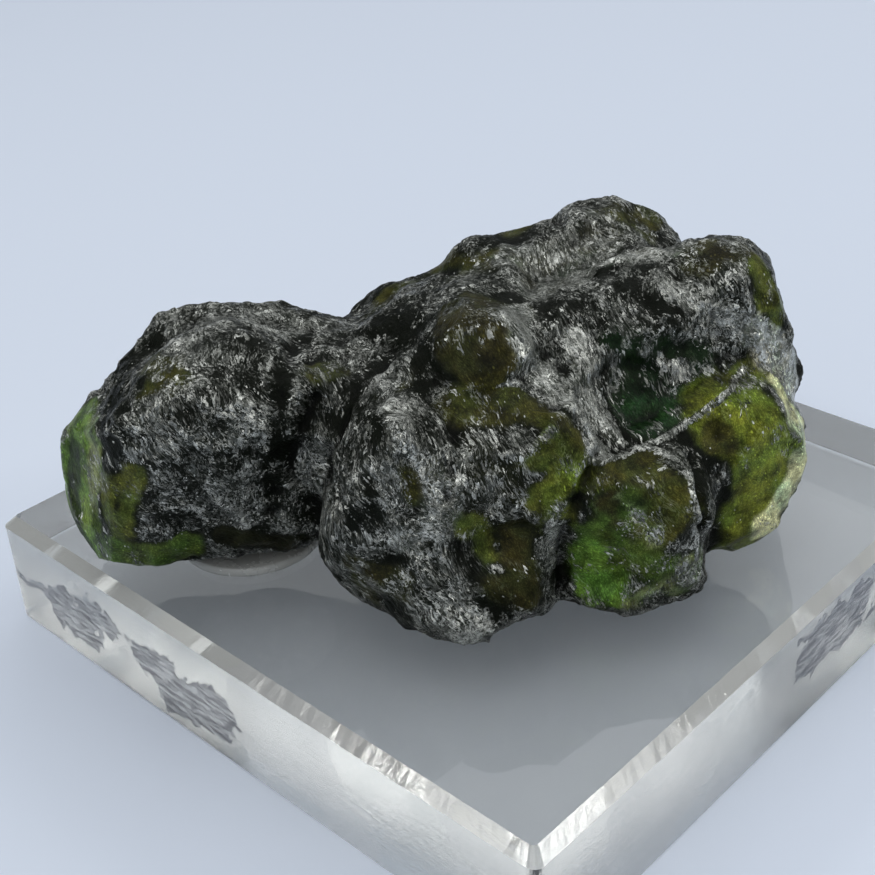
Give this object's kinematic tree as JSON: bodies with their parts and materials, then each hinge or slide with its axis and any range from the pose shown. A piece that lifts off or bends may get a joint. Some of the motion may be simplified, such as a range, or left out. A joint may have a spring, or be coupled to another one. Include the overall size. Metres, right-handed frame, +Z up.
{
  "type": "chrysoberyl specimen",
  "caption": "Rough intergrown chrysoberyl crystal resting on a clear square acrylic display base, its overhanging end held by a round adhesive pad.",
  "frame": {"origin": "middle of the acrylic base's underside", "axes": "+Z up out of the base; the base's edges run along X and Y, and the stone lies along the diagonal from -X -Y to +X +Y with its best side to the corner at +X -Y"},
  "size_m": [0.0382, 0.0382, 0.0218],
  "materials": {
    "clear_acrylic": "clear polished acrylic with sawn, lightly frosted chamfers",
    "clear_adhesive": "clear soft adhesive pad, slightly milky, with a bright rim",
    "rough_chrysoberyl": "dark green-black crystal with a silvery flaky skin and glassy olive and green faces where it shows through"
  },
  "bodies": {
    "root": {"acrylic_base": "clear_acrylic", "adhesive_pad": "clear_adhesive", "chrysoberyl": "rough_chrysoberyl"}
  },
  "joints": []
}
